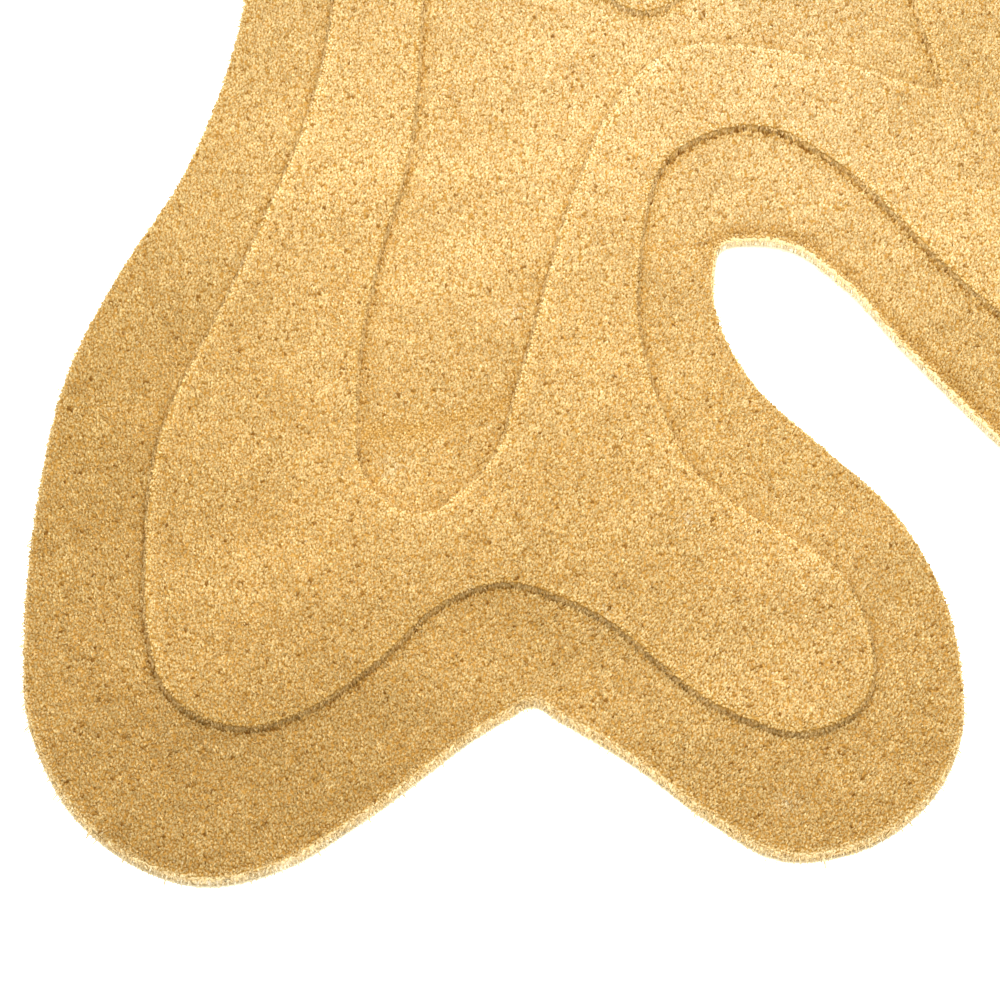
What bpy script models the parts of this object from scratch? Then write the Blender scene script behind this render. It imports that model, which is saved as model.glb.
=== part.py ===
"""Tufted wool rug with a free-form outline and a carved relief.

A full-size drawing gives four closed lines. The rim line is the edge of the rug. Between the band
line and the hollow line the pile is left long, and so is the island in the middle of the hollow.
Everywhere else the pile is sheared shorter, so each line shows as a carved step. One cloth is glued
under the whole rug and its folded edge shows as a narrow lip.

Metres, +Z up. The rug lies flat on its backing, with the middle of its outline at the origin.
"""
import math

import bmesh
import bpy
from mathutils import Vector
from mathutils.geometry import interpolate_bezier

# Heights above the floor
BACKING_THICKNESS = 0.003
GLUE_LINE = 0.0003
SHORT_PILE_TOP = 0.017
LONG_PILE_TOP = 0.023

# Edges
BACKING_LIP = 0.001
TUFT_ROUNDING = 0.002

# A line is drawn as short chords
BIGGEST_TURN = math.radians(7)
LONGEST_CHORD = 0.016
WELD = 0.00001

# The drawing's lines, anticlockwise, one row for each stretch. A stretch is a few x and y places
# measured from the drawing's lower left corner, and a smooth line runs through them all.
RIM_LINE = {
    "left side": ((0.203, 1.075), (0.144, 0.845), (0.138, 0.741), (0.094, 0.571), (0.053, 0.491)),
    "left front lobe": ((0.019, 0.404), (0.004, 0.305), (0.000, 0.200), (0.008, 0.122)),
    "end of the left lobe": ((0.080, 0.022), (0.130, 0.003), (0.184, 0.014), (0.239, 0.050)),
    "front notch": ((0.340, 0.129), (0.358, 0.139), (0.376, 0.128)),
    "right front lobe": ((0.426, 0.095), (0.480, 0.050), (0.528, 0.022), (0.577, 0.028)),
    "side of the bay": ((0.653, 0.106), (0.658, 0.165), (0.616, 0.290), (0.566, 0.344)),
    "head of the bay": ((0.520, 0.395), (0.494, 0.491), (0.501, 0.516), (0.519, 0.520)),
    "other side of the bay": ((0.550, 0.516), (0.585, 0.488), (0.634, 0.424), (0.765, 0.289)),
    "right lobe": ((0.850, 0.252), (1.038, 0.370), (1.016, 0.595), (1.018, 0.705)),
    "back right lobe": ((1.182, 0.935), (1.216, 1.110), (1.180, 1.315), (1.115, 1.410)),
    "back bay": ((1.060, 1.421), (0.910, 1.369), (0.812, 1.500)),
    "back lobe": ((0.745, 1.590), (0.615, 1.650), (0.475, 1.677), (0.330, 1.650), (0.212, 1.578)),
    "left waist": ((0.168, 1.455), (0.155, 1.318)),
}
BAND_LINE = {
    "left side": ((0.292, 1.075), (0.216, 0.825), (0.194, 0.651), (0.139, 0.482)),
    "left front lobe": ((0.086, 0.335), (0.082, 0.255), (0.087, 0.185), (0.101, 0.143)),
    "end of the left lobe": ((0.162, 0.113), (0.201, 0.126), (0.253, 0.167)),
    "front notch": ((0.297, 0.211), (0.337, 0.226), (0.386, 0.210)),
    "right front lobe": ((0.500, 0.122), (0.542, 0.109), (0.581, 0.124), (0.591, 0.205)),
    "side of the bay": ((0.570, 0.244), (0.524, 0.277), (0.481, 0.312), (0.453, 0.370)),
    "head of the bay": ((0.441, 0.510), (0.468, 0.593), (0.545, 0.612), (0.574, 0.593)),
    "other side of the bay": ((0.687, 0.465), (0.768, 0.392), (0.858, 0.341)),
    "right lobe": ((0.930, 0.362), (0.966, 0.425), (0.925, 0.630), (0.930, 0.740)),
    "back right lobe": ((1.085, 0.955), (1.116, 1.190), (1.045, 1.307)),
    "back bay": ((0.975, 1.262), (0.904, 1.238), (0.845, 1.285)),
    "back lobe": ((0.695, 1.520), (0.587, 1.562), (0.475, 1.581), (0.371, 1.562), (0.283, 1.506)),
    "left waist": ((0.245, 1.315),),
}
HOLLOW_LINE = {
    "left side": ((0.381, 1.075), (0.288, 0.825), (0.263, 0.566), (0.247, 0.502)),
    "front tip": ((0.233, 0.365), (0.239, 0.315), (0.280, 0.285), (0.305, 0.301)),
    "right side": ((0.331, 0.334), (0.346, 0.388), (0.395, 0.575), (0.413, 0.623)),
    "right tip": ((0.466, 0.688), (0.560, 0.686), (0.621, 0.668), (0.659, 0.654)),
    "end of the right tip": ((0.668, 0.653), (0.668, 0.663), (0.656, 0.716)),
    "right arm": ((0.660, 0.812), (0.746, 0.865), (0.853, 0.908), (0.946, 0.989)),
    "end of the right arm": ((1.022, 1.075), (1.012, 1.138), (0.888, 1.112), (0.838, 1.150)),
    "back": ((0.690, 1.372), (0.630, 1.440), (0.557, 1.469), (0.471, 1.484), (0.348, 1.418)),
    "left waist": ((0.334, 1.306),),
}
ISLAND_LINE = {
    "left side": ((0.472, 1.105), (0.401, 0.815)),
    "front tip": ((0.409, 0.748), (0.445, 0.722), (0.483, 0.745), (0.502, 0.805)),
    "right side": ((0.530, 0.878), (0.703, 1.020), (0.605, 1.285)),
    "back": ((0.548, 1.347), (0.451, 1.300), (0.460, 1.212)),
}

WOOL_COLOUR = (0.686, 0.440, 0.155, 1.0)
CANVAS_COLOUR = (0.760, 0.680, 0.500, 1.0)


def clear_scene():
    for obj in list(bpy.data.objects):
        bpy.data.objects.remove(obj, do_unlink=True)


def smooth_line(stretches):
    """A closed line that runs smoothly through a table's places, as a list of 2D points."""
    places = [Vector(place) for stretch in stretches.values() for place in stretch]
    spans = [place - places[index - 1] for index, place in enumerate(places)]
    directions = []
    for index, before in enumerate(spans):
        after = spans[(index + 1) % len(spans)]
        course = before.normalized() * after.length + after.normalized() * before.length
        directions.append(course.normalized())
    points = []
    for index, span in enumerate(spans):
        start = directions[index - 1]
        end = directions[index]
        turn = start.angle(end)
        # With handles of this length a Bezier curve follows an arc of a circle
        handle = span.length / (3 * math.cos(turn / 4) ** 2)
        chords = max(
            1, math.ceil(turn / BIGGEST_TURN), math.ceil(span.length / LONGEST_CHORD))
        bend = interpolate_bezier(
            places[index - 1], places[index - 1] + start * handle,
            places[index] - end * handle, places[index], chords + 1)
        points += bend[:-1]
    return points


def middle_of(points):
    """The middle of the box around a line."""
    xs = [point.x for point in points]
    ys = [point.y for point in points]
    return Vector(((min(xs) + max(xs)) / 2, (min(ys) + max(ys)) / 2))


def moved(points, shift):
    return [point + shift for point in points]


def widened(points, distance):
    """An anticlockwise line moved outwards everywhere by a small distance."""
    result = []
    for index, point in enumerate(points):
        along = points[(index + 1) % len(points)] - points[index - 1]
        outward = Vector((along.y, -along.x)).normalized()
        result.append(point + outward * distance)
    return result


def make_collection(name):
    collection = bpy.data.collections.new(name)
    bpy.context.scene.collection.children.link(collection)
    return collection


def make_slab(name, outer_lines, holes, low, high, rounding, collection):
    """A flat piece between two heights, cut to its lines, with its edges rounded."""
    curve = bpy.data.curves.new(name, "CURVE")
    curve.dimensions = "2D"
    curve.fill_mode = "BOTH"
    curve.extrude = (high - low) / 2 - rounding
    curve.bevel_depth = rounding
    curve.bevel_resolution = 0
    curve.offset = -rounding
    for line in outer_lines + [list(reversed(hole)) for hole in holes]:
        spline = curve.splines.new("POLY")
        spline.points.add(len(line) - 1)
        for spline_point, point in zip(spline.points, line):
            spline_point.co = (point.x, point.y, 0, 1)
        spline.use_cyclic_u = True
    drawn = bpy.data.objects.new(name + "_lines", curve)
    drawn.location.z = (low + high) / 2
    collection.objects.link(drawn)
    depsgraph = bpy.context.evaluated_depsgraph_get()
    mesh = bpy.data.meshes.new_from_object(drawn.evaluated_get(depsgraph))
    mesh.name = name
    cloth = bmesh.new()
    cloth.from_mesh(mesh)
    bmesh.ops.remove_doubles(cloth, verts=cloth.verts, dist=WELD)
    bmesh.ops.recalc_face_normals(cloth, faces=cloth.faces)
    cloth.to_mesh(mesh)
    cloth.free()
    slab = bpy.data.objects.new(name, mesh)
    slab.matrix_world = drawn.matrix_world
    collection.objects.link(slab)
    bpy.data.objects.remove(drawn, do_unlink=True)
    return slab


def make_material(name, colour, roughness):
    material = bpy.data.materials.new(name)
    material.use_nodes = True
    shader = material.node_tree.nodes["Principled BSDF"]
    shader.inputs["Base Color"].default_value = colour
    shader.inputs["Roughness"].default_value = roughness
    shader.inputs["Metallic"].default_value = 0.0
    material.diffuse_color = colour
    return material


def make_backing(rim, collection):
    """The cloth glued under the tufting, folded at its edge so that a lip shows."""
    backing = make_slab(
        "backing", [widened(rim, BACKING_LIP)], [], 0.0, BACKING_THICKNESS, 0.0, collection)
    backing.data.materials.clear()
    backing.data.materials.append(make_material("cotton_canvas", CANVAS_COLOUR, 0.9))
    return backing


def make_pile(rim, band, hollow, island, collection, helpers):
    """The tufted wool: short pile out to the rim, and long pile on the band and the island."""
    roots = BACKING_THICKNESS + GLUE_LINE
    pile = make_slab("pile", [rim], [], roots, SHORT_PILE_TOP, TUFT_ROUNDING, collection)
    inside_short_pile = (roots + SHORT_PILE_TOP) / 2
    long_pile = make_slab(
        "long_pile", [band, island], [hollow], inside_short_pile, LONG_PILE_TOP,
        TUFT_ROUNDING, helpers)
    long_pile.hide_render = True
    long_pile.display_type = "WIRE"
    join = pile.modifiers.new("long_pile", "BOOLEAN")
    join.operation = "UNION"
    join.solver = "EXACT"
    join.object = long_pile
    pile.data.materials.clear()
    pile.data.materials.append(make_material("ochre_wool", WOOL_COLOUR, 1.0))
    return pile


def main():
    clear_scene()
    rug = make_collection("tufted_wool_rug")
    helpers = make_collection("cutters")
    drawn_rim = smooth_line(RIM_LINE)
    to_origin = -middle_of(drawn_rim)
    rim = moved(drawn_rim, to_origin)
    band = moved(smooth_line(BAND_LINE), to_origin)
    hollow = moved(smooth_line(HOLLOW_LINE), to_origin)
    island = moved(smooth_line(ISLAND_LINE), to_origin)
    root = bpy.data.objects.new("rug_origin", None)
    rug.objects.link(root)
    backing = make_backing(rim, rug)
    pile = make_pile(rim, band, hollow, island, rug, helpers)
    for piece in (backing, pile):
        piece.parent = root


main()
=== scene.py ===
"""Tufted wool rug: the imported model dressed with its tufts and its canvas, in a plain studio.

Lengths are in metres.
"""

import math
import random

import bmesh
import bpy
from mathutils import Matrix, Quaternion, Vector, noise
from mathutils.bvhtree import BVHTree


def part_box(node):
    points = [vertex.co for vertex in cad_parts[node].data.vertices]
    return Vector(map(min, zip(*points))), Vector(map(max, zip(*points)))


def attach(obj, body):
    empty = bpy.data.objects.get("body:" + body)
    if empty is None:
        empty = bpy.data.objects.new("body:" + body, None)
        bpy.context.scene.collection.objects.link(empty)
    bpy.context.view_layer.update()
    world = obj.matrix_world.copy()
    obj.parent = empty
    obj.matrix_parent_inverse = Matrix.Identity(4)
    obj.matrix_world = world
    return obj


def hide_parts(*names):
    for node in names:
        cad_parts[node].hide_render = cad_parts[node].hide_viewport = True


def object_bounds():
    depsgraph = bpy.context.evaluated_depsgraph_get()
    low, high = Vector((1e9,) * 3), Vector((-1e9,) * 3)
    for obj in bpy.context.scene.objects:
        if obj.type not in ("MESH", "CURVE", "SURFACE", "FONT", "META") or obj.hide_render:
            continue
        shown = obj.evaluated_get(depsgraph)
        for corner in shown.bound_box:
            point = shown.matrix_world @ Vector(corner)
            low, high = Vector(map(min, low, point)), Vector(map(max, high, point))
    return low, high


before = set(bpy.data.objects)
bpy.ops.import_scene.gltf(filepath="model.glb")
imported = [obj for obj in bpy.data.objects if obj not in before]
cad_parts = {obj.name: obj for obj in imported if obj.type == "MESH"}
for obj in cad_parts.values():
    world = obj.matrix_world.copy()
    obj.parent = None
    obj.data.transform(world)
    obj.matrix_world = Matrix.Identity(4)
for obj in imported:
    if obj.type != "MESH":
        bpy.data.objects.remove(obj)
cad_low, cad_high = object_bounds()
RUG_FLAT_SIZE = (cad_high.x - cad_low.x, cad_high.y - cad_low.y)


# Canvas backing: a cream cotton cloth glued under the rug over the latex and the stitches.
# It is cut a little larger than the pile and its edge is folded under, so that a soft round hem
# shows as a narrow ribbon between the wool and the floor.
HEM_ROUNDING = 0.0011
HEM_WAVES = 0.0007
HEM_WAVE_LENGTH = 0.045
HEM_SEGMENTS = 3
# Faces that turn less than this count as one flat face, and edges that turn more as folds
FLAT_TURN = math.radians(1)
FOLD_TURN = math.radians(60)
LEVEL = 0.99
CANVAS_COLOUR = (0.92, 0.86, 0.68, 1.0)
CANVAS_SHADE = (0.80, 0.71, 0.50, 1.0)
THREAD_PITCH = 0.0010
THREAD_WOBBLE = 0.6
SLUBS_PER_METRE = 140.0
WEAVE_TONES = (0.1, 0.55)
WEAVE_RELIEF = 0.0004
MATT_GLOSS = 0.2
# A wave texture turns by this many radians a unit at scale 1
WAVE_TEXTURE_RATE = 20
WELD = 0.00001


def node(tree, kind, sockets, **settings):
    """Adds a node. Each of its sockets gets a value, or the output that feeds it."""
    made = tree.nodes.new(kind)
    for name, value in settings.items():
        setattr(made, name, value)
    for name, value in sockets.items():
        if isinstance(value, bpy.types.NodeSocket):
            tree.links.new(value, made.inputs[name])
        else:
            made.inputs[name].default_value = value
    return made


def new_material(name, roughness, sheen, gloss):
    """A material, its node tree, its shader and the coordinates that its patterns read."""
    material = bpy.data.materials.new(name)
    material.use_nodes = True
    tree = material.node_tree
    shader = tree.nodes["Principled BSDF"]
    shader.inputs["Roughness"].default_value = roughness
    shader.inputs["Sheen Weight"].default_value = sheen
    shader.inputs["Specular IOR Level"].default_value = gloss
    place = node(tree, "ShaderNodeTexCoord", {}).outputs["Object"]
    return material, tree, shader, place


def merged_copy(cad_node):
    """A copy of a CAD node's mesh with its loose triangles joined up."""
    shape = bmesh.new()
    shape.from_mesh(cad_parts[cad_node].data)
    bmesh.ops.remove_doubles(shape, verts=shape.verts, dist=WELD)
    bmesh.ops.recalc_face_normals(shape, faces=shape.faces)
    return shape


def new_piece(name, shape, material):
    """The finished bmesh as an object at the origin."""
    mesh = bpy.data.meshes.new(name)
    shape.to_mesh(mesh)
    shape.free()
    mesh.materials.clear()
    mesh.materials.append(material)
    piece = bpy.data.objects.new(name, mesh)
    bpy.context.scene.collection.objects.link(piece)
    return piece


def canvas_material():
    """Plain weave: warp and weft pass over each other square by square."""
    material, tree, shader, place = new_material(
        "cotton_canvas", roughness=0.9, sheen=0.15, gloss=MATT_GLOSS)
    wave_scale = math.tau / (WAVE_TEXTURE_RATE * THREAD_PITCH * 2)
    warp = node(tree, "ShaderNodeTexWave", {
        "Vector": place, "Scale": wave_scale, "Distortion": THREAD_WOBBLE, "Detail": 1.0},
        bands_direction="X")
    weft = node(tree, "ShaderNodeTexWave", {
        "Vector": place, "Scale": wave_scale, "Distortion": THREAD_WOBBLE, "Detail": 1.0},
        bands_direction="Y")
    squares = node(tree, "ShaderNodeTexChecker", {
        "Vector": place, "Scale": 1 / THREAD_PITCH,
        "Color1": (1, 1, 1, 1), "Color2": (0, 0, 0, 1)})
    weave = node(tree, "ShaderNodeMix", {
        "Factor": squares.outputs["Fac"], 2: warp.outputs["Fac"], 3: weft.outputs["Fac"]})
    slub = node(tree, "ShaderNodeTexNoise", {
        "Vector": place, "Scale": SLUBS_PER_METRE, "Detail": 3.0})
    mixed = node(tree, "ShaderNodeMath", {
        0: weave.outputs["Result"], 1: slub.outputs["Fac"]}, operation="MULTIPLY")
    tone = node(tree, "ShaderNodeMapRange", {
        "Value": mixed.outputs["Value"],
        "From Min": WEAVE_TONES[0], "From Max": WEAVE_TONES[1]})
    colour = node(tree, "ShaderNodeMix", {
        "Factor": tone.outputs["Result"], 6: CANVAS_SHADE, 7: CANVAS_COLOUR}, data_type="RGBA")
    bump = node(tree, "ShaderNodeBump", {
        "Height": mixed.outputs["Value"], "Strength": 0.6, "Distance": WEAVE_RELIEF})
    tree.links.new(colour.outputs[2], shader.inputs["Base Color"])
    tree.links.new(bump.outputs["Normal"], shader.inputs["Normal"])
    return material


def canvas_backing():
    """The backing's solid, with its rim rounded into a hem that swells a little here and there."""
    shape = merged_copy("backing")
    bmesh.ops.dissolve_limit(
        shape, angle_limit=FLAT_TURN, verts=shape.verts, edges=shape.edges)
    folds = [edge for edge in shape.edges if edge.calc_face_angle(0) > FOLD_TURN]
    bmesh.ops.bevel(
        shape, geom=folds, offset=HEM_ROUNDING, segments=HEM_SEGMENTS, profile=0.5,
        affect="EDGES", material=-1)
    shape.normal_update()
    for vert in shape.verts:
        swell = noise.noise(vert.co / HEM_WAVE_LENGTH) * HEM_WAVES
        vert.co += Vector((vert.normal.x, vert.normal.y, 0)) * swell
    for face in shape.faces:
        face.smooth = abs(face.normal.z) < LEVEL
    return new_piece("canvas_backing", shape, canvas_material())


canvas = canvas_backing()
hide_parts("backing")
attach(canvas, "root")


# Packed wool: just below their tips the tufts press together into one springy body of yarn, held
# in a primary cloth by latex. This piece is that body. It stays back from the rim and from every
# carved step, where single tufts stand free in front of it.
PACKED_DEPTH = 0.0026
PACKED_SIDE_DEPTH = 0.0011
# The top is painted with the dark shade deep in the pile, the walls with lighter shade, and the
# rim walls paler as a painted highlight
PACKED_SHADE_TONE = 0.10
PACKED_SIDE_SHADE_TONE = 0.50
PACKED_TINT = 0.5
PACKED_SHOULDER = 0.0035
PACKED_RIM_HIGHLIGHT = 0.30
CANVAS_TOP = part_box("backing")[1].z
SHORT_TOP = 0.017
LONG_TOP = 0.023
# Down each yarn the colour is painted darker and warmer towards its root: painted shade deep in
# the pile
WOOL_DEEP_SHADE = (0.28, 0.125, 0.022, 1.0)
WOOL_BODY = (0.60, 0.355, 0.085, 1.0)
WOOL_TIP = (0.765, 0.57, 0.252, 1.0)
WOOL_PALE = (0.77, 0.67, 0.46, 1.0)
FIBRE_SCALE = 1250.0
FIBRE_SLANT = math.radians(-25)
FIBRE_LENGTH = 2.2
FIBRE_RELIEF = 0.0006
FIBRE_TONES = (0.60, 1.38)
NAP_PATCH_SCALE = 12.0
NAP_STREAK_LENGTH = 2.0
NAP_TONES = (0.88, 1.08)
TINT_TONES = (0.78, 1.22)
NOISE_SPREAD = (0.3, 0.7)
# How far up a yarn, as a share of it, its body colour, its tip colour and its full paleness begin
BODY_FROM = 0.20
TIP_FROM = 0.50
PALE_FROM = 0.40
# Wool in shade loses blue first, so a deeper tone is also a warmer one
SHADE_LAW = (1.0, 1.25, 1.8)
WOOL_GLOSS = 0.05
WOOL_SHEEN_TINT = (1.0, 0.85, 0.55, 1.0)


def wool_group():
    """The colour and the fine relief of wool yarn, painted darker towards its roots as shade deep
    in the pile, and lighter at its cut tips.
    """
    group = bpy.data.node_groups.new("spun_wool", "ShaderNodeTree")
    for name in ("Along", "Deep_Shade", "Tint", "Pale"):
        group.interface.new_socket(name, in_out="INPUT", socket_type="NodeSocketFloat")
    group.interface.new_socket("Color", in_out="OUTPUT", socket_type="NodeSocketColor")
    group.interface.new_socket("Height", in_out="OUTPUT", socket_type="NodeSocketFloat")
    given = group.nodes.new("NodeGroupInput").outputs
    place = node(group, "ShaderNodeTexCoord", {}).outputs["Object"]
    combed = node(group, "ShaderNodeMapping", {
        "Vector": place, "Rotation": (0, 0, FIBRE_SLANT), "Scale": (1, FIBRE_LENGTH, 1)},
        vector_type="TEXTURE")
    fibre = node(group, "ShaderNodeTexNoise", {
        "Vector": combed.outputs["Vector"], "Scale": FIBRE_SCALE, "Detail": 1.0,
        "Roughness": 0.6})
    streaked = node(group, "ShaderNodeMapping", {
        "Vector": place, "Scale": (NAP_STREAK_LENGTH, 1, 1)}, vector_type="TEXTURE")
    patch = node(group, "ShaderNodeTexNoise", {
        "Vector": streaked.outputs["Vector"], "Scale": NAP_PATCH_SCALE, "Detail": 6.0,
        "Roughness": 0.72})
    # Painted shade: this input pulls the colour down the yarn towards its darker root
    open_share = node(group, "ShaderNodeMath", {0: 1.0, 1: given["Deep_Shade"]}, operation="SUBTRACT")
    lit = node(group, "ShaderNodeMath", {
        0: given["Along"], 1: open_share.outputs["Value"]}, operation="MULTIPLY")
    yarn = node(group, "ShaderNodeValToRGB", {"Fac": lit.outputs["Value"]})
    stops = yarn.color_ramp.elements
    stops[0].color = WOOL_DEEP_SHADE
    stops[1].position = BODY_FROM
    stops[1].color = WOOL_BODY
    stops.new(TIP_FROM).color = WOOL_TIP
    off_deep = node(group, "ShaderNodeMapRange", {
        "Value": lit.outputs["Value"], "From Max": PALE_FROM, "To Max": given["Pale"]})
    pale = node(group, "ShaderNodeMix", {
        "Factor": off_deep.outputs["Result"], 6: yarn.outputs["Color"], 7: WOOL_PALE},
        data_type="RGBA")

    def toned_by(source, spread, tones):
        """A multiplier that runs from the darker to the lighter of two tones."""
        ranged = node(group, "ShaderNodeMapRange", {
            "Value": source, "From Min": spread[0], "From Max": spread[1],
            "To Min": tones[0], "To Max": tones[1]})
        return ranged.outputs["Result"]

    fibre_tone = toned_by(fibre.outputs["Fac"], NOISE_SPREAD, FIBRE_TONES)
    patch_tone = toned_by(patch.outputs["Fac"], NOISE_SPREAD, NAP_TONES)
    tint_tone = toned_by(given["Tint"], (0, 1), TINT_TONES)
    both = node(group, "ShaderNodeMath", {
        0: fibre_tone, 1: patch_tone}, operation="MULTIPLY")
    every = node(group, "ShaderNodeMath", {
        0: both.outputs["Value"], 1: tint_tone}, operation="MULTIPLY")
    shade = node(group, "ShaderNodeVectorMath", {
        0: every.outputs["Value"], 1: SHADE_LAW}, operation="POWER")
    toned = node(group, "ShaderNodeVectorMath", {
        0: pale.outputs[2], 1: shade.outputs["Vector"]}, operation="MULTIPLY")
    node(group, "NodeGroupOutput", {
        "Color": toned.outputs["Vector"], "Height": fibre.outputs["Fac"]})
    return group


spun_wool = wool_group()


def wool_material(name, sources):
    """Wool yarn. Each input of the wool is a number, or the name of an attribute."""
    material, tree, shader, _ = new_material(
        name, roughness=0.95, sheen=0.06, gloss=WOOL_GLOSS)
    shader.inputs["Sheen Tint"].default_value = WOOL_SHEEN_TINT
    wool = node(tree, "ShaderNodeGroup", {}, node_tree=spun_wool)
    for socket, source in sources.items():
        if isinstance(source, str):
            read = node(tree, "ShaderNodeAttribute", {}, attribute_name=source)
            tree.links.new(read.outputs["Fac"], wool.inputs[socket])
        else:
            wool.inputs[socket].default_value = source
    bump = node(tree, "ShaderNodeBump", {
        "Height": wool.outputs["Height"], "Strength": 0.35, "Distance": FIBRE_RELIEF})
    tree.links.new(wool.outputs["Color"], shader.inputs["Base Color"])
    tree.links.new(bump.outputs["Normal"], shader.inputs["Normal"])
    return material


def packed_wool():
    """The pile's solid drawn in by the depth at which single tufts part."""
    shape = merged_copy("pile")
    shape.normal_update()
    pale = shape.verts.layers.float.new("pale")
    along = shape.verts.layers.float.new("along")
    inward = {vert: vert.normal * vert.calc_shell_factor() for vert in shape.verts}
    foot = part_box("pile")[0].z + PACKED_DEPTH
    for vert, normal in inward.items():
        low = vert.co.z < foot
        on_rim = vert.co.z < SHORT_TOP - WELD
        on_step = SHORT_TOP + WELD < vert.co.z < LONG_TOP - WELD
        # Painted highlight on the rim walls; painted shade, darker on the top than on the walls
        vert[pale] = PACKED_RIM_HIGHLIGHT if on_rim else 0.0
        vert[along] = PACKED_SIDE_SHADE_TONE if on_rim or on_step else PACKED_SHADE_TONE
        vert.co -= Vector((
            normal.x * PACKED_SIDE_DEPTH, normal.y * PACKED_SIDE_DEPTH, normal.z * PACKED_DEPTH))
        if on_step:
            vert.co.z -= PACKED_SHOULDER
        if low:
            vert.co.z = CANVAS_TOP
    material = wool_material(
        "packed_wool", {"Along": "along", "Deep_Shade": 0.0, "Tint": PACKED_TINT, "Pale": "pale"})
    return new_piece("packed_wool", shape, material)


packed = packed_wool()
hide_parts("pile")
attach(packed, "root")


# Cut pile: wool yarn shot through the primary cloth, a stitch every few millimetres, and sheared
# so that its ends open into small brushes. The border and the hollow are sheared short, the band
# and the island long. Along each step the carver's shears open a groove and round the shoulder.
ROW_PITCH = 0.0039
STITCH_PITCH = 0.0039
TUFT_JITTER = 0.0006
TUFT_LEAN_SPREAD = 0.16
TUFT_TINT_SPREAD = 0.08
CUT_PILE_SEED = 41
PATCH_NAMES = ("border", "hollow", "band", "island")
PATCH_TINTS = (-0.13, -0.06, -0.03, -0.03)
FIRST_LONG_PATCH = 2
# A tuft opens into strands that stand in a ring and splay outwards
STRANDS = 3
STRAND_RING = 0.0014
RING_VARIATION = (0.7, 1.2)
STRAND_REACH = 0.0023
REACH_VARIATION = (0.85, 1.2)
STRAND_SPLAY = 0.18
STRAND_TINT = 0.5
STRAND_TINT_SPREAD = 0.09
ROOT_IN_PACKED_WOOL = 0.0006
SHEAR_UNEVENNESS = 0.0010
SHORTEST_STRAND = 0.0012
LONGEST_LEAN = 0.0045
# The nap leans back and a little to the right. It drifts over the rug and wobbles between tufts.
NAP_LEAN_RIGHT = 0.10
NAP_LEAN_BACK = 0.34
NAP_DRIFT = 0.15
NAP_DRIFT_RATE = 3.1
NAP_DRIFT_OFFSET = Vector((5.2, 1.3, 0.7))
NAP_WOBBLE = 0.22
NAP_WOBBLE_RATE = 22.0
NAP_SEED = 53
# Above a step: the shoulder's strands lean over. They are painted lighter, most on the side that
# faces the light, and painted with shade at the edge where the step faces the front
SHOULDER_REACH = 0.0120
SHOULDER_LEAN = 0.05
SHOULDER_DROP = 0.0028
SHOULDER_HIGHLIGHT = 0.08
SHOULDER_EDGE = 0.0040
SHOULDER_SHADE = 0.24
BRIGHT_SIDE = Vector((-0.20, 0.22, 0))
# Below a step: the groove is painted shade: a dark line, in clumps, in a shallow dip painted a
# little darker
GROOVE_REACH = 0.0100
GROOVE_LEAN = 0.25
GROOVE_SHADE_TINT = 0.19
GROOVE_LINE = 0.0024
GROOVE_CLUMP_LENGTH = 0.005
GROOVE_CLUMPING = 0.7
GROOVE_SHADE = 1.71
GROOVE_SHADE_LAW = 1.5
GROOVE_SHADE_BASE = 0.60
GROOVE_SHADE_CHANGE = 0.45
GROOVE_SHADE_CHANGE_LENGTH = 0.03
# Beside the rim: the strands stand apart from it, lean out, and are painted paler, a painted
# highlight.
# Further in runs a ring of painted deeper shade, strongest beside the bay.
RIM_GAP = 0.0010
RIM_REACH = 0.0070
RIM_LEAN = 0.22
RIM_UPRIGHTNESS = 0.7
RIM_DROP = 0.0016
RIM_HIGHLIGHT = 0.20
RING_MIDDLE = 0.006
RING_REACH = 0.008
RING_SHADE = 0.10
BAY_RING_SHADE = 0.65
BAY_REACH = 0.045
RING_SHADE_VARIATION = (0.7, 1.1)
# Marks in the pile: creases painted with shade, pale flecks, and single strands painted dark as
# the shade of gaps
CREASE_RAGGEDNESS = 0.5
CREASE_RAG_RATE = 160
CREASE_DROP = 0.0015
CREASE_SHADE_VARIATION = (0.6, 1.0)
FLECK_PATCH_PALENESS = 0.6
FLECK_CHANCE = 0.0015
FLECK_PALENESS = 0.5
HOLE_SHADE_CHANCE = 0.03
HOLE_SHADE_DEPTHS = (0.6, 0.95)
# The carved solid is searched from above the rug and at the middle of its walls. A face counts as
# a top, as level or as a wall by how far up or down its normal points.
ABOVE_RUG = 0.1
RIM_MIDDLE = 0.010
STEP_MIDDLE = 0.019
TOP_FACING = 0.3
FLAT_FACING = 0.9
WALL_FACING = 0.1
DOWN = Vector((0, 0, -1))
UP = Vector((0, 0, 1))
# A tuft's cell of the UV map is one unit wide, and the tuft's foot lies on this ring in it
CELL_FOOT_RING = 0.42
CELL_TAPER = 0.30
# Where the nap is painted lighter, darker or paler as sheen and shade: the middle of the patch,
# its reach and its looks
NAP_SHEEN_AND_SHADE_COLUMNS = ("x", "y", "reach", "tone", "pale")
NAP_SHEEN_AND_SHADE = (
    (-0.150, -0.100, 0.400, 0.04, 0.20),
    (0.150, 0.550, 0.450, 0.04, 0.20),
    (-0.254, -0.199, 0.120, 0.12, 0.00),
    (-0.102, -0.181, 0.100, 0.12, 0.00),
    (-0.045, -0.620, 0.080, 0.10, 0.06),
    (-0.332, -0.317, 0.070, 0.10, 0.00),
    (-0.600, -0.470, 0.110, -0.25, -0.04),
    (0.060, -0.160, 0.080, -0.28, -0.14),
    (0.020, -0.190, 0.140, 0.00, 0.12),
    (-0.520, -0.770, 0.100, -0.12, 0.00),
    (-0.600, -0.640, 0.060, -0.12, 0.00),
    (-0.080, -0.760, 0.090, 0.10, 0.02),
    (-0.390, -0.800, 0.090, -0.12, 0.00),
    (0.180, 0.150, 0.130, 0.12, 0.00),
    (-0.300, 0.520, 0.120, -0.12, 0.00),
)
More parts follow.
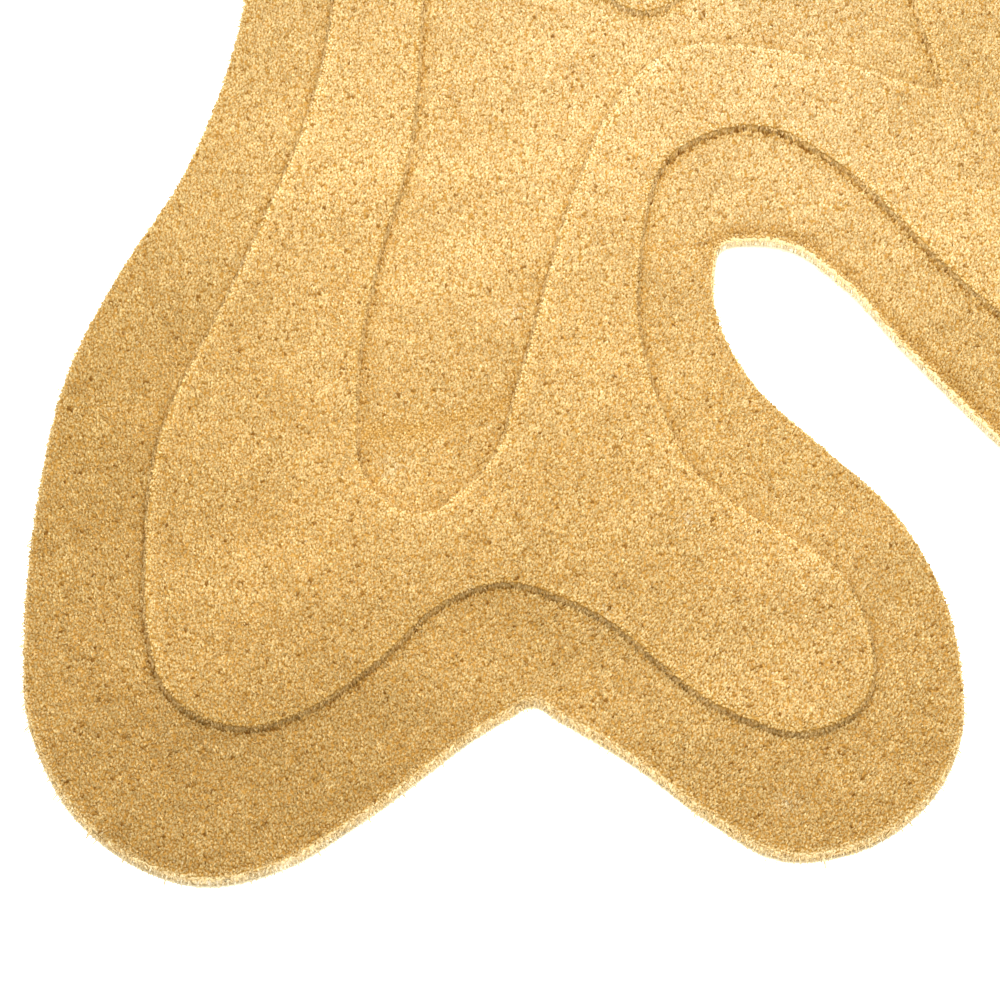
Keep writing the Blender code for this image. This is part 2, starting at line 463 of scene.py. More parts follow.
# Where the pile is pressed apart and painted with shade: the two ends of the crease, its half
# width and its strength
CREASE_COLUMNS = ("x", "y", "to_x", "to_y", "reach", "strength")
CREASES = (
    (-0.367, -0.488, -0.325, -0.485, 0.0100, 0.60),
    (-0.325, -0.485, -0.273, -0.463, 0.0080, 0.55),
    (-0.162, -0.330, -0.113, -0.330, 0.0030, 0.45),
    (-0.233, -0.699, -0.209, -0.694, 0.0016, 0.85),
    (-0.010, -0.619, 0.035, -0.619, 0.0030, 0.25),
    (-0.599, -0.697, -0.516, -0.697, 0.0035, 0.25),
    (0.300, -0.120, 0.352, -0.105, 0.0040, 0.35),
    (-0.240, 0.360, -0.205, 0.410, 0.0030, 0.45),
)
# Where pale yarn shows between the tufts: the middle of the fleck and its reach
FLECK_COLUMNS = ("x", "y", "reach")
FLECKS = (
    (-0.351, -0.518, 0.009),
    (-0.465, -0.343, 0.008),
    (-0.262, -0.387, 0.010),
    (-0.203, -0.642, 0.008),
    (-0.075, -0.781, 0.008),
    (-0.138, -0.562, 0.006),
    (-0.294, -0.619, 0.005),
    (0.240, 0.020, 0.008),
    (-0.150, 0.600, 0.008),
)
# Where the groove's painted shade along a step is stronger or weaker: the middle of the place, its
# reach and the depth of the change
GROOVE_SHADE_COLUMNS = ("x", "y", "reach", "depth")
GROOVE_SHADE_PLACES = (
    (-0.080, -0.240, 0.100, 0.75),
    (-0.210, -0.615, 0.070, -0.42),
    (-0.090, -0.700, 0.100, -0.55),
    (0.100, -0.350, 0.120, 0.30),
    (-0.470, -0.700, 0.070, 0.20),
    (0.150, 0.450, 0.200, 0.30),
)
# Where the rug's edge is cut straight down, and the pile beside it lies open
BAY_EDGE = ((-0.105, -0.325), (-0.060, -0.325), (-0.010, -0.385), (0.110, -0.530))


def tree_of(shape, faces):
    """A search tree over some of the faces."""
    corners = [vert.co.copy() for vert in shape.verts]
    return BVHTree.FromPolygons(corners, [[vert.index for vert in face.verts] for face in faces])


def patches_of(shape):
    """Numbers the faces that look up. The carved walls part one patch from the next.
    The low patches come first, and of two equally high the larger comes first."""
    waiting = {face for face in shape.faces if face.normal.z > TOP_FACING}
    patches = []
    while waiting:
        patch = []
        edge_of_patch = [waiting.pop()]
        while edge_of_patch:
            face = edge_of_patch.pop()
            patch.append(face)
            for edge in face.edges:
                for other in edge.link_faces:
                    if other in waiting:
                        waiting.remove(other)
                        edge_of_patch.append(other)
        top = max(vert.co.z for face in patch for vert in face.verts)
        area = sum(face.calc_area() for face in patch)
        patches.append((round(top, 3), -area, patch))
    patches.sort(key=lambda row: row[:2])
    return {face.index: number for number, row in enumerate(patches) for face in row[2]}


carved = merged_copy("pile")
carved.normal_update()
carved.verts.index_update()
carved.faces.index_update()
carved.faces.ensure_lookup_table()
walls = [face for face in carved.faces if abs(face.normal.z) < WALL_FACING]
rim_wall = tree_of(carved, [face for face in walls if face.calc_center_median().z < SHORT_TOP])
step_wall = tree_of(carved, [face for face in walls if face.calc_center_median().z > SHORT_TOP])
carved_top = BVHTree.FromBMesh(carved)
patch_of_face = patches_of(carved)
packed_top = BVHTree.FromObject(packed, bpy.context.evaluated_depsgraph_get())


def rows_of(columns, table):
    return [dict(zip(columns, row)) for row in table]


def to_stretch(spot, start, end):
    """How far a spot is from the straight stretch between two points, all 2D."""
    course = end - start
    share = max(0.0, min(1.0, (spot - start).dot(course) / course.length_squared))
    return (spot - start - course * share).length


nap_sheen_and_shade = rows_of(NAP_SHEEN_AND_SHADE_COLUMNS, NAP_SHEEN_AND_SHADE)
creases = rows_of(CREASE_COLUMNS, CREASES)
flecks = rows_of(FLECK_COLUMNS, FLECKS)
groove_shade_places = rows_of(GROOVE_SHADE_COLUMNS, GROOVE_SHADE_PLACES)
bay_edge = [Vector(place) for place in BAY_EDGE]


def painted_nap_sheen(spot, look):
    """One look of the nap's painted sheen and shade at a spot, summed over the patches."""
    total = 0.0
    for patch in nap_sheen_and_shade:
        away = (spot - Vector((patch["x"], patch["y"]))).length / patch["reach"]
        total += patch[look] * math.exp(-away * away)
    return total


def crease_depth(spot):
    """How strongly the pile is pressed apart at a spot, from 0 to 1."""
    depth = 0.0
    for crease in creases:
        start = Vector((crease["x"], crease["y"]))
        end = Vector((crease["to_x"], crease["to_y"]))
        ragged = 1 + CREASE_RAGGEDNESS * noise.noise(spot.to_3d() * CREASE_RAG_RATE)
        away = to_stretch(spot, start, end) / (crease["reach"] * ragged)
        depth = max(depth, crease["strength"] * math.exp(-away * away))
    return depth


def fleck_paleness(spot):
    """How much pale yarn shows at a spot, from 0 to 1."""
    paleness = 0.0
    for fleck in flecks:
        away = (spot - Vector((fleck["x"], fleck["y"]))).length / fleck["reach"]
        paleness = max(paleness, math.exp(-away * away))
    return paleness


def bay_share(spot, reach):
    """How close a spot is to the edge that is cut straight down: 1 on it, 0 past the reach."""
    away = min(to_stretch(spot, start, end) for start, end in zip(bay_edge, bay_edge[1:]))
    return max(0.0, 1 - away / reach)


def groove_shade_strength(spot):
    """How strongly the groove's shade is painted at a spot, about 1 where it is darkest."""
    depth = GROOVE_SHADE_BASE + GROOVE_SHADE_CHANGE * noise.noise(spot.to_3d() / GROOVE_SHADE_CHANGE_LENGTH)
    for cut in groove_shade_places:
        away = (spot - Vector((cut["x"], cut["y"]))).length / cut["reach"]
        depth += cut["depth"] * math.exp(-away * away)
    return max(0.0, depth)


# Without this the vector noise takes its seed from the clock, and the nap differs each run
noise.seed_set(NAP_SEED)


def nap_lean(spot):
    """Which way the pile lies at a spot: how far a tip leans per unit of its height."""
    drift = spot.to_3d() * NAP_DRIFT_RATE
    wobble = noise.noise_vector(spot.to_3d() * NAP_WOBBLE_RATE)
    sideways = NAP_LEAN_RIGHT + NAP_DRIFT * noise.noise(drift)
    backwards = NAP_LEAN_BACK + NAP_DRIFT * noise.noise(drift + NAP_DRIFT_OFFSET)
    return Vector((sideways + NAP_WOBBLE * wobble.x, backwards + NAP_WOBBLE * wobble.y, 0))


def spot_bed():
    """An empty bed of spots, one for each tuft, with the layers that a tuft reads."""
    bed = bmesh.new()
    floats = bed.verts.layers.float
    vectors = bed.verts.layers.float_vector
    layers = {name: vectors.new(name) for name in ("turn", "size", "cell")}
    layers.update({name: floats.new(name) for name in ("deep", "tint", "pale")})
    return bed, layers


def add_spot(bed, layers, root, tip, width, spin, looks):
    """Adds the spot of one tuft that stands on its root and reaches its tip."""
    along = tip - root
    turn = UP.rotation_difference(along) @ Quaternion(UP, spin)
    spot = bed.verts.new(root)
    spot[layers["turn"]] = turn.to_euler()[:]
    spot[layers["size"]] = (width, width, along.length)
    for name, value in looks.items():
        spot[layers[name]] = value


def pile_at(spot):
    """What the pile is like where a strand stands, or nothing where there is no pile."""
    above = spot.to_3d() + UP * ABOVE_RUG
    top, _, face, _ = carved_top.ray_cast(above, DOWN)
    if top is None or face not in patch_of_face:
        return None
    _, outward, _, to_rim = rim_wall.find_nearest(spot.to_3d() + UP * RIM_MIDDLE)
    if to_rim < RIM_GAP:
        return None
    _, downhill, _, to_step = step_wall.find_nearest(spot.to_3d() + UP * STEP_MIDDLE)
    under, _, _, _ = packed_top.ray_cast(above, DOWN)
    if under is None:
        return None
    return {
        "top": top.z, "patch": patch_of_face[face], "outward": outward, "to_rim": to_rim,
        "near_rim": max(0.0, 1 - to_rim / RIM_REACH), "downhill": downhill, "to_step": to_step,
        "bay": bay_share(spot, BAY_REACH),
        "root": under.z - ROOT_IN_PACKED_WOOL}


def carve(spot, here, lean, drop, looks, dice):
    """Shapes a strand beside a step: a round shoulder above it, painted lighter where it faces the
    light, and a groove below it painted with shade.
    """
    if here["patch"] >= FIRST_LONG_PATCH:
        shoulder = max(0.0, 1 - here["to_step"] / SHOULDER_REACH)
        lean += here["downhill"] * (SHOULDER_LEAN * shoulder ** 3)
        drop += SHOULDER_DROP * shoulder ** 3
        # Painted highlight on the shoulder, strongest on the side that faces the light
        looks["tint"] += shoulder * (SHOULDER_HIGHLIGHT + here["downhill"].dot(BRIGHT_SIDE))
        # Painted shade along the edge of a shoulder that faces the front
        turned_down = math.exp(-(here["to_step"] / SHOULDER_EDGE) ** 2)
        looks["tint"] -= SHOULDER_SHADE * turned_down * max(0.0, -here["downhill"].y)
    else:
        groove = max(0.0, 1 - here["to_step"] / GROOVE_REACH)
        clump = 1 + GROOVE_CLUMPING * noise.noise(spot.to_3d() / GROOVE_CLUMP_LENGTH)
        line = math.exp(-(here["to_step"] / (GROOVE_LINE * clump)) ** 2)
        shade = GROOVE_SHADE * groove_shade_strength(spot) * line * dice.random() ** GROOVE_SHADE_LAW
        lean -= here["downhill"] * (GROOVE_LEAN * groove ** 3)
        # Painted shade over the wider groove
        looks["tint"] -= GROOVE_SHADE_TINT * groove
        looks["pale"] *= 1 - groove
        looks["deep"] = max(looks["deep"], shade)
    return lean, drop


def dress_rim(here, lean, drop, looks, dice):
    """Shapes a strand beside the rim: it leans out and is painted paler as a highlight, and
    further in a ring is painted with deeper shade.
    """
    near_rim = here["near_rim"]
    lean += here["outward"] * (RIM_LEAN * near_rim * (1 - here["bay"]))
    drop += RIM_DROP * near_rim * near_rim
    # Painted highlight: strands near the rim are painted paler
    looks["pale"] = max(looks["pale"], RIM_HIGHLIGHT * (1 - here["bay"]) * near_rim)
    # Painted shade: a ring of deeper colour a little way in from the rim
    ring = math.exp(-((here["to_rim"] - RING_MIDDLE) / RING_REACH) ** 2)
    ring_shade = ring * (RING_SHADE + BAY_RING_SHADE * here["bay"]) * dice.uniform(*RING_SHADE_VARIATION)
    looks["deep"] = max(looks["deep"], ring_shade)
    return lean, drop


def tufts_of_rug(dice):
    """Each tuft of the drawing's box: its place, its lean and its tint. A row's stitches stand
    half a stitch on from those of the row before."""
    rows = math.ceil(RUG_FLAT_SIZE[0] / ROW_PITCH)
    stitches = math.ceil(RUG_FLAT_SIZE[1] / STITCH_PITCH)
    for row in range(rows):
        for stitch in range(stitches):
            along_row = (stitch + 0.5 * (row % 2)) * STITCH_PITCH
            place = Vector((
                cad_low.x + row * ROW_PITCH + dice.gauss(0, TUFT_JITTER),
                cad_low.y + along_row + dice.gauss(0, TUFT_JITTER)))
            lean = Vector((dice.gauss(0, TUFT_LEAN_SPREAD), dice.gauss(0, TUFT_LEAN_SPREAD), 0))
            yield place, lean, dice.gauss(0, TUFT_TINT_SPREAD)


def strand_looks(spot, here, crease, tuft_tint, dice):
    """How deeply shaded, how light and how pale a strand is painted, before it is carved."""
    # Painted shade in a crease
    deep = crease * dice.uniform(*CREASE_SHADE_VARIATION)
    # Painted sheen and shade of the nap make the strand lighter, darker or paler; the flecks are
    # pale yarn
    tint = STRAND_TINT + tuft_tint + dice.gauss(0, STRAND_TINT_SPREAD) + painted_nap_sheen(spot, "tone")
    fleck = FLECK_PATCH_PALENESS * fleck_paleness(spot) * dice.random()
    looks = {
        "deep": deep, "tint": tint + PATCH_TINTS[here["patch"]],
        "pale": painted_nap_sheen(spot, "pale") + fleck}
    if dice.random() < FLECK_CHANCE:
        looks["pale"] = FLECK_PALENESS
    # Painted shade: a strand painted dark as the shade of a gap in the pile
    if dice.random() < HOLE_SHADE_CHANCE:
        looks["deep"] = dice.uniform(*HOLE_SHADE_DEPTHS)
    return looks


def cut_pile_beds():
    """The spots of all the strands of the pile, sorted by patch and half."""
    dice = random.Random(CUT_PILE_SEED)
    beds = {}
    for tuft, tuft_lean, tuft_tint in tufts_of_rug(dice):
        first_turn = dice.uniform(0, math.tau)
        for strand in range(STRANDS):
            turn = first_turn + strand * math.tau / STRANDS
            outwards = Vector((math.cos(turn), math.sin(turn)))
            spot = tuft + outwards * (STRAND_RING * dice.uniform(*RING_VARIATION))
            here = pile_at(spot)
            if here is None:
                continue
            crease = crease_depth(spot)
            looks = strand_looks(spot, here, crease, tuft_tint, dice)
            lean = nap_lean(spot) * (1 - RIM_UPRIGHTNESS * here["near_rim"]) + tuft_lean
            lean += (outwards * STRAND_SPLAY).to_3d()
            drop = dice.random() * SHEAR_UNEVENNESS + CREASE_DROP * crease
            lean, drop = carve(spot, here, lean, drop, looks, dice)
            lean, drop = dress_rim(here, lean, drop, looks, dice)
            looks["deep"] = min(looks["deep"], 1.0)
            root = spot.to_3d() + UP * here["root"]
            height = max(SHORTEST_STRAND, here["top"] - drop - here["root"])
            tip = root + UP * height + lean * min(height, LONGEST_LEAN)
            key = (here["patch"], "front" if spot.y < 0 else "back")
            if key not in beds:
                beds[key] = spot_bed()
            add_spot(
                *beds[key], root, tip, STRAND_REACH * dice.uniform(*REACH_VARIATION),
                dice.uniform(0, math.tau), looks)
    return beds


def map_tuft(shape):
    """Lays a tuft out on one square cell, with its tip in the middle and its foot round it."""
    cell = shape.loops.layers.uv.new("in_cell")
    along = shape.verts.layers.float.new("along")
    middle = Vector((0.5, 0.5))
    for vert in shape.verts:
        vert[along] = vert.co.z
    for face in shape.faces:
        for loop in face.loops:
            spoke = loop.vert.co.to_2d()
            if spoke.length < WELD:
                loop[cell].uv = middle
            else:
                away = CELL_FOOT_RING - CELL_TAPER * loop.vert.co.z
                loop[cell].uv = middle + spoke.normalized() * away


def looks_down(face):
    return face.normal.z < -FLAT_FACING


def tuft_object(name, foot_radius, tip_radius, material):
    """A three-sided tuft one unit high that stands at the origin, open at its foot."""
    shape = bmesh.new()
    bmesh.ops.create_cone(
        shape, cap_ends=True, cap_tris=False, segments=3, radius1=foot_radius,
        radius2=tip_radius, depth=1.0)
    bmesh.ops.translate(shape, vec=UP * 0.5, verts=shape.verts)
    bmesh.ops.remove_doubles(shape, verts=shape.verts, dist=WELD)
    shape.normal_update()
    feet = [face for face in shape.faces if looks_down(face)]
    bmesh.ops.delete(shape, geom=feet, context="FACES_ONLY")
    map_tuft(shape)
    return new_piece(name, shape, material)


def planting_group():
    """Plants a tuft on each spot, and gives each tuft its own cell of the piece's UV map."""
    group = bpy.data.node_groups.new("plant_tufts", "GeometryNodeTree")
    group.interface.new_socket("Spots", in_out="INPUT", socket_type="NodeSocketGeometry")
    group.interface.new_socket("Tuft", in_out="INPUT", socket_type="NodeSocketObject")
    group.interface.new_socket("Cell Size", in_out="INPUT", socket_type="NodeSocketFloat")
    group.interface.new_socket("Tufts", in_out="OUTPUT", socket_type="NodeSocketGeometry")
    given = group.nodes.new("NodeGroupInput").outputs

    def read(name):
        return node(group, "GeometryNodeInputNamedAttribute", {"Name": name},
                    data_type="FLOAT_VECTOR").outputs["Attribute"]

    tuft = node(group, "GeometryNodeObjectInfo", {"Object": given["Tuft"]})
    turn = node(group, "FunctionNodeEulerToRotation", {"Euler": read("turn")})
    planted = node(group, "GeometryNodeInstanceOnPoints", {
        "Points": given["Spots"], "Instance": tuft.outputs["Geometry"],
        "Rotation": turn.outputs["Rotation"], "Scale": read("size")})
    joined = node(
        group, "GeometryNodeRealizeInstances", {"Geometry": planted.outputs["Instances"]})
    inside = node(group, "ShaderNodeVectorMath", {
        0: read("in_cell"), "Scale": given["Cell Size"]}, operation="SCALE")
    on_map = node(group, "ShaderNodeVectorMath", {
        0: inside.outputs["Vector"], 1: read("cell")}, operation="ADD")
    mapped = node(group, "GeometryNodeStoreNamedAttribute", {
        "Geometry": joined.outputs["Geometry"], "Name": "OFBake",
        "Value": on_map.outputs["Vector"]}, data_type="FLOAT2", domain="CORNER")
    node(group, "NodeGroupOutput", {"Tufts": mapped.outputs["Geometry"]})
    return group


plant_tufts = planting_group()


def plant(name, bed, layers, tuft):
    """One mesh piece with a tuft on each spot of the bed."""
    cells = math.ceil(math.sqrt(len(bed.verts)))
    for number, spot in enumerate(bed.verts):
        spot[layers["cell"]] = (number % cells / cells, number // cells / cells, 0)
    mesh = bpy.data.meshes.new(name)
    bed.to_mesh(mesh)
    bed.free()
    piece = bpy.data.objects.new(name, mesh)
    bpy.context.scene.collection.objects.link(piece)
    planting = piece.modifiers.new("tufts", "NODES")
    planting.node_group = plant_tufts
    sockets = {item.name: item.identifier for item in plant_tufts.interface.items_tree}
    planting[sockets["Tuft"]] = tuft
    planting[sockets["Cell Size"]] = 1 / cells
    depsgraph = bpy.context.evaluated_depsgraph_get()
    joined = bpy.data.meshes.new_from_object(piece.evaluated_get(depsgraph))
    piece.modifiers.clear()
    piece.data = joined
    joined.name = name
    bpy.data.meshes.remove(mesh)
    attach(piece, "root")
    return piece


cut_wool = wool_material(
    "cut_wool", {"Along": "along", "Deep_Shade": "deep", "Tint": "tint", "Pale": "pale"})
brush = tuft_object("brush", foot_radius=1.0, tip_radius=0.0, material=cut_wool)
beds = cut_pile_beds()
for patch, half in sorted(beds):
    name = "_".join((PATCH_NAMES[patch], half, "tufts"))
    plant(name, *beds[patch, half], brush)


# Step yarns: the yarns that stand along each carved step, which the shears cut open. They show
# their sides above the groove, painted lighter, with painted shade darkest at its bottom, and hide
# the imported wool behind them.
STEP_YARN_PITCH = 0.0011
STEP_YARN_REACH = 0.0016
STEP_YARN_REACH_VARIATION = (0.8, 1.2)
STEP_YARN_INSET = 0.0003
STEP_YARN_DROP = 0.0013
STEP_YARN_UNEVENNESS = 0.0028
STEP_YARN_LEAN = -0.14
STEP_YARN_LEAN_SPREAD = 0.14
STEP_YARN_SWAY = 0.20
STEP_YARN_NAP_SHARE = 0.25
STEP_YARN_SHADE = 0.52
STEP_YARN_SHADE_VARIATION = (0.0, 1.25)
STEP_YARN_HIGHLIGHT = 0.85
STEP_YARN_TINT_SPREAD = 0.30
STEP_YARN_SIDE_LIGHT = 0.3
STEP_CHANGE_LENGTH = 0.02
STEP_CHANGE = 0.3
STEP_CLUMPING = 0.9
STEP_YARN_SEED = 47


def foot_edges(is_flat, is_wall):
    """The two ends of each edge between a flat face and the wall that stands on it."""
    edges = []
    for edge in carved.edges:
        if len(edge.link_faces) == 2:
            one, other = edge.link_faces
            if (is_flat(one) and is_wall(other)) or (is_flat(other) and is_wall(one)):
                edges.append(sorted((vert.co.copy() for vert in edge.verts), key=tuple))
    return edges


def looks_up(face):
    return face.normal.z > FLAT_FACING and face.calc_center_median().z < SHORT_TOP + WELD


def is_step(face):
    return abs(face.normal.z) < WALL_FACING and face.calc_center_median().z > SHORT_TOP


def places_along(edges, pitch, dice):
    """Evenly spaced places along the edges, each a little off its own spot."""
    for start, end in edges:
        yarns = int((end - start).length / pitch + dice.random())
        for yarn in range(yarns):
            yield start.lerp(end, (yarn + dice.random()) / yarns)


def step_yarn_bed():
    """The spots of the yarns along the carved steps."""
    dice = random.Random(STEP_YARN_SEED)
    bed, layers = spot_bed()
    for place in places_along(foot_edges(looks_up, is_step), STEP_YARN_PITCH, dice):
        _, downhill, _, _ = step_wall.find_nearest(place + UP * (STEP_MIDDLE - SHORT_TOP))
        spot = place.to_2d()
        root = place - downhill * STEP_YARN_INSET
        root.z = SHORT_TOP - PACKED_DEPTH - ROOT_IN_PACKED_WOOL
        height = LONG_TOP - STEP_YARN_DROP - dice.random() * STEP_YARN_UNEVENNESS - root.z
        lean = downhill * (STEP_YARN_LEAN + dice.gauss(0, STEP_YARN_LEAN_SPREAD))
        lean += nap_lean(spot) * STEP_YARN_NAP_SHARE
        lean += downhill.cross(UP) * dice.gauss(0, STEP_YARN_SWAY)
        # How strongly the groove's shade is painted on this yarn, changing along the step and in
        # clumps
        groove_shade_here = groove_shade_strength(spot) + STEP_CHANGE * noise.noise(place / STEP_CHANGE_LENGTH)
        groove_shade_here *= 1 + STEP_CLUMPING * noise.noise(place / GROOVE_CLUMP_LENGTH)
        deep = STEP_YARN_SHADE * groove_shade_here * dice.uniform(*STEP_YARN_SHADE_VARIATION)
        # Painted light: the yarns are painted lighter, and lighter or darker by how their step
        # faces the light
        tint = STEP_YARN_HIGHLIGHT + dice.gauss(0, STEP_YARN_TINT_SPREAD)
        looks = {
            "deep": max(0.0, deep),
            "tint": tint + downhill.dot(BRIGHT_SIDE) * STEP_YARN_SIDE_LIGHT,
            "pale": 0.0}
        add_spot(
            bed, layers, root, root + UP * height + lean * height,
            STEP_YARN_REACH * dice.uniform(*STEP_YARN_REACH_VARIATION),
            dice.uniform(0, math.tau), looks)
    return bed, layers


plant("step_yarns", *step_yarn_bed(), brush)
bpy.data.objects.remove(brush, do_unlink=True)


# Rim yarns: the outermost yarns of the pile, which show from root to tip because nothing stands
# in front of them. Their sides are painted pale, a painted highlight. They stand straight along
# the bay, where the edge was cut. Everywhere else they loosen, and the outermost hang out over the
# canvas.
YARN_PITCH = 0.0014
YARN_WIDTH = 0.00095
YARN_WIDTH_VARIATION = (0.8, 1.25)
YARN_HEIGHT_VARIATION = (0.82, 1.0)
YARN_TAPER = 0.35
YARN_TONE = 0.8
YARN_ROOT_DEPTH = 0.0003
YARN_TOP_DROP = 0.0005
YARN_UNEVENNESS = 0.0010
YARN_TINT = 0.35
YARN_TINT_SPREAD = 0.15
RIM_YARN_SEED = 43
# The edge is neat along the bay and loose elsewhere, and these are how the two differ
NEAT_REACH = 0.06
NEAT_SWAY = 0.03
# Along the bay the yarns are painted paler still, a painted highlight
NEAT_HIGHLIGHT = 0.55
LOOSE_SWAY = 0.10
LOOSE_LEAN_SPREAD = 0.08
LOOSE_TINT = 0.10
# A loose yarn leans further where the rim faces the front, and with the others of its clump
SIDE_LEAN = 0.55
FRONT_LEAN = 0.45
CLUMP_RATE = 90.0
CLUMP_LEAN = (0.5, 0.7)
# The loose rows' painted shade changes along the rim
DEPTH_CHANGE_RATE = 80.0
DEPTH_CHANGE = 0.8
DEPTH_VARIATION = (0.5, 1.2)
FRAYED_WIDTH = 0.00070
FRAYED_ROOT_INSET = 0.0008
FRAYED_ROOT_HEIGHTS = (0.006, 0.012)
FRAYED_REACH = (0.0035, 0.0072)
FRAYED_SWAY = 0.0012
FRAYED_TIP_HEIGHTS = (0.0008, 0.0042)
# Frayed yarns are painted lighter and paler, a painted highlight
FRAYED_TINT = 0.85
FRAYED_HIGHLIGHT = 0.38
FRAYED_HIGHLIGHT_VARIATION = (0.4, 1.6)
FRAY_CHANGE_LENGTH = 0.013
FRAY_CHANGE = 0.6
LOW_ON_RIM = 0.005
# Round one place on the rim the yarns are painted paler, a painted highlight
PALE_RIM_MIDDLE = Vector((-0.436, -0.830))
PALE_RIM_REACH = 0.09
PALE_RIM_HIGHLIGHT = 0.45
# From the outermost row inwards: how far outside the foot of the pile a yarn stands, how much of
# the pile's height it reaches, and where the edge is loose how far it leans, how pale it is
# painted as a highlight and how deep its painted shade is. The foot's own line lies inside the rim
# by the rounding of the pile's edge.
YARN_COLUMNS = ("outset", "share", "lean", "pale", "deep")
YARN_ROWS = (
    (0.0013, 0.50, 0.16, 0.60, 0.00),
    (0.0006, 0.75, 0.11, 0.28, 0.38),
    (-0.0001, 0.92, 0.06, 0.10, 0.58),
    (-0.0008, 1.02, 0.02, 0.00, 0.66),
)


def is_rim(face):
    return not looks_down(face) and face.calc_center_median().z < SHORT_TOP


def standing_yarn(place, outward, row, loose, dice):
    """The root and the tip of a yarn that stands up from the canvas, with the lean of its row."""
    clump = 0.5 + noise.noise(place * CLUMP_RATE)
    facing = SIDE_LEAN + FRONT_LEAN * max(0.0, -outward.y)
    lean = row["lean"] * facing * (CLUMP_LEAN[0] + CLUMP_LEAN[1] * clump)
    fan = loose * (lean + dice.gauss(0, LOOSE_LEAN_SPREAD))
    root = place + outward * row["outset"]
    root.z = CANVAS_TOP - YARN_ROOT_DEPTH
    share = row["share"] * dice.uniform(*YARN_HEIGHT_VARIATION)
    height = (SHORT_TOP - YARN_TOP_DROP - root.z) * share - dice.random() * YARN_UNEVENNESS
    sideways = outward.cross(UP) * dice.gauss(0, NEAT_SWAY + LOOSE_SWAY * loose)
    tip = root + UP * height + (outward * fan + sideways) * height
    return root, tip


def frayed_yarn(place, outward, dice):
    """The root and the tip of a loose yarn that hangs out over the canvas."""
    root = place - outward * FRAYED_ROOT_INSET
    root.z = dice.uniform(*FRAYED_ROOT_HEIGHTS)
    reach = dice.uniform(*FRAYED_REACH)
    reach *= 1 + FRAY_CHANGE * noise.noise(place / FRAY_CHANGE_LENGTH)
    tip = place + outward * reach + outward.cross(UP) * dice.gauss(0, FRAYED_SWAY)
    tip.z = dice.uniform(*FRAYED_TIP_HEIGHTS)
    return root, tip


def rim_yarn_bed():
    """The spots of the yarns along the rim, in rows one behind the other."""
    dice = random.Random(RIM_YARN_SEED)
    bed, layers = spot_bed()
    foot = foot_edges(looks_down, is_rim)
    for number, row in enumerate(rows_of(YARN_COLUMNS, YARN_ROWS)):
        for place in places_along(foot, YARN_PITCH, dice):
            _, outward, _, _ = rim_wall.find_nearest(place + UP * LOW_ON_RIM)
            loose = 1 - math.sqrt(bay_share(place.to_2d(), NEAT_REACH))
            root, tip = standing_yarn(place, outward, row, loose, dice)
            # Painted highlight round one place on the rim
            away = (place.to_2d() - PALE_RIM_MIDDLE).length / PALE_RIM_REACH
            paleness = PALE_RIM_HIGHLIGHT * math.exp(-away * away)
            uneven = 1 + DEPTH_CHANGE * noise.noise(place * DEPTH_CHANGE_RATE)
            # Painted shade, deeper on the inner rows where the edge is loose
            depth = row["deep"] * loose * (1 - paleness) * uneven
            looks = {
                "deep": depth * dice.uniform(*DEPTH_VARIATION),
                "tint": YARN_TINT - LOOSE_TINT * loose + dice.gauss(0, YARN_TINT_SPREAD),
                "pale": row["pale"] + paleness + (1 - loose) * NEAT_HIGHLIGHT}
            width = YARN_WIDTH
            if number == 0 and dice.random() < loose:
                root, tip = frayed_yarn(place, outward, dice)
                width = FRAYED_WIDTH
                looks["deep"] = 0.0
                # Painted highlight on the frayed yarns
                looks["tint"] = FRAYED_TINT + dice.gauss(0, YARN_TINT_SPREAD)
                frayed = FRAYED_HIGHLIGHT * dice.uniform(*FRAYED_HIGHLIGHT_VARIATION)
                looks["pale"] = frayed + paleness
            add_spot(
                bed, layers, root, tip, width * dice.uniform(*YARN_WIDTH_VARIATION),
                dice.uniform(0, math.tau), looks)
    return bed, layers


rim_wool = wool_material(
    "rim_wool", {"Along": YARN_TONE, "Deep_Shade": "deep", "Tint": "tint", "Pale": "pale"})
yarn = tuft_object("yarn", foot_radius=1.0, tip_radius=YARN_TAPER, material=rim_wool)
plant("rim_yarns", *rim_yarn_bed(), yarn)
bpy.data.objects.remove(yarn, do_unlink=True)
carved.free()


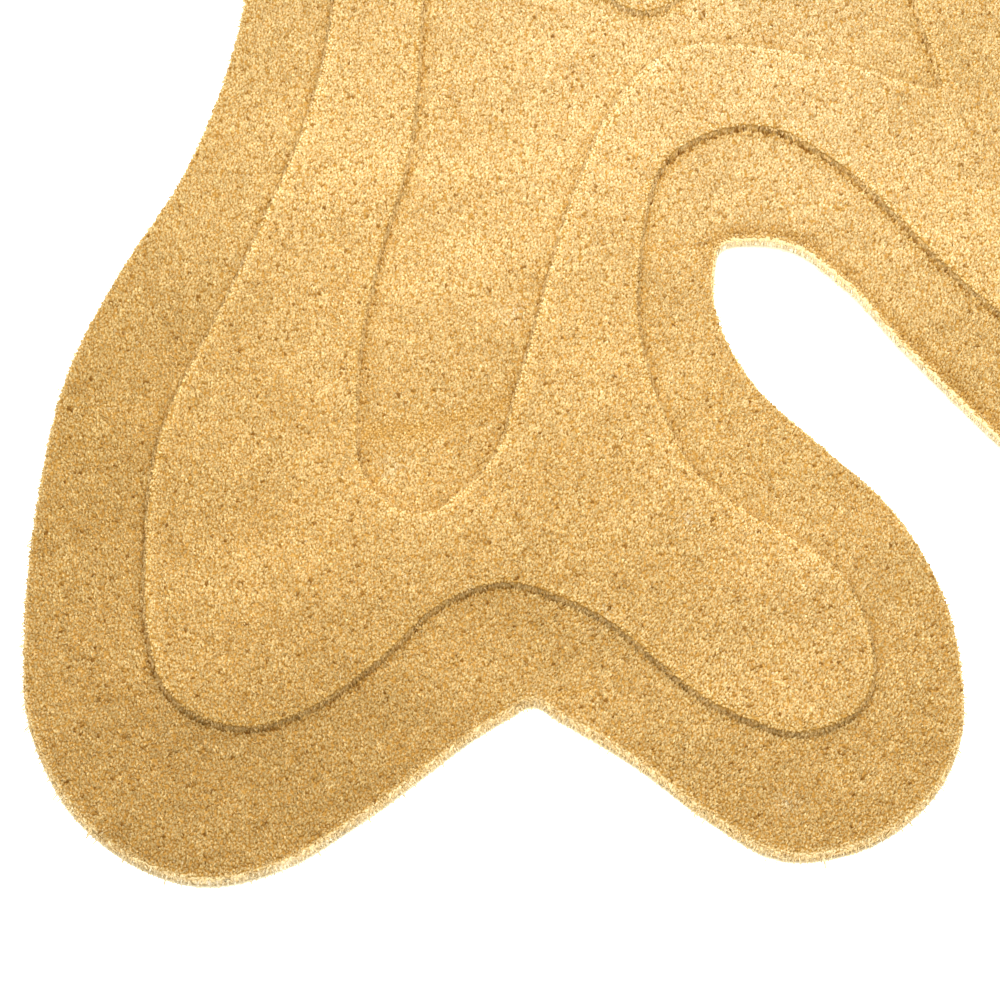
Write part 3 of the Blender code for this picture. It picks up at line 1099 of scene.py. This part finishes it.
# Studio: a plain white floor that glows a little, so that it shows pure white as in the
# photograph, a big soft light above the rug and an even white sky.
FLOOR_SIZE = 60.0
FLOOR_COLOUR = (0.93, 0.93, 0.93, 1.0)
FLOOR_GLOW = 2.0
SKY_STRENGTH = 0.58
WHITE = (1.0, 1.0, 1.0, 1.0)
CAMERA_TARGET = Vector((-0.2729, -0.535, 0.0))
LIGHT_PLACE = Vector((-0.14, -0.25, 1.20))
LIGHT_SIZE = 0.9
LIGHT_POWER = 21.5

floor_shape = bmesh.new()
bmesh.ops.create_grid(floor_shape, x_segments=1, y_segments=1, size=FLOOR_SIZE / 2)
floor_material, _, floor_shader, _ = new_material(
    "white_floor", roughness=0.9, sheen=0.0, gloss=MATT_GLOSS)
floor_shader.inputs["Base Color"].default_value = FLOOR_COLOUR
floor_shader.inputs["Emission Color"].default_value = WHITE
floor_shader.inputs["Emission Strength"].default_value = FLOOR_GLOW
floor = new_piece("studio_floor", floor_shape, floor_material)

world = bpy.data.worlds.new("studio_sky")
bpy.context.scene.world = world
world.use_nodes = True
sky = world.node_tree.nodes["Background"]
sky.inputs["Color"].default_value = WHITE
sky.inputs["Strength"].default_value = SKY_STRENGTH

lamp = bpy.data.lights.new("softbox", "AREA")
lamp.size = LIGHT_SIZE
lamp.energy = LIGHT_POWER
light = bpy.data.objects.new("softbox", lamp)
light.location = LIGHT_PLACE
light.rotation_mode = "QUATERNION"
light.rotation_quaternion = (CAMERA_TARGET - LIGHT_PLACE).to_track_quat("-Z", "Y")
light.visible_camera = False
bpy.context.scene.collection.objects.link(light)


# Camera: the photograph looks down on the rug's front left part from in front of it, from far
# enough away that the rug's lines hardly converge.
CAMERA_DISTANCE = 2.7345
CAMERA_ELEVATION = math.radians(61)
CAMERA_ANGLE = math.radians(15)

camera_data = bpy.data.cameras.new("camera")
camera_data.sensor_fit = "HORIZONTAL"
camera_data.angle = CAMERA_ANGLE
camera = bpy.data.objects.new("camera", camera_data)
camera.location = CAMERA_TARGET + CAMERA_DISTANCE * Vector((
    0, -math.cos(CAMERA_ELEVATION), math.sin(CAMERA_ELEVATION)))
camera.rotation_euler = (math.pi / 2 - CAMERA_ELEVATION, 0, 0)
bpy.context.scene.collection.objects.link(camera)
bpy.context.scene.camera = camera
bpy.context.scene.view_settings.view_transform = "Standard"
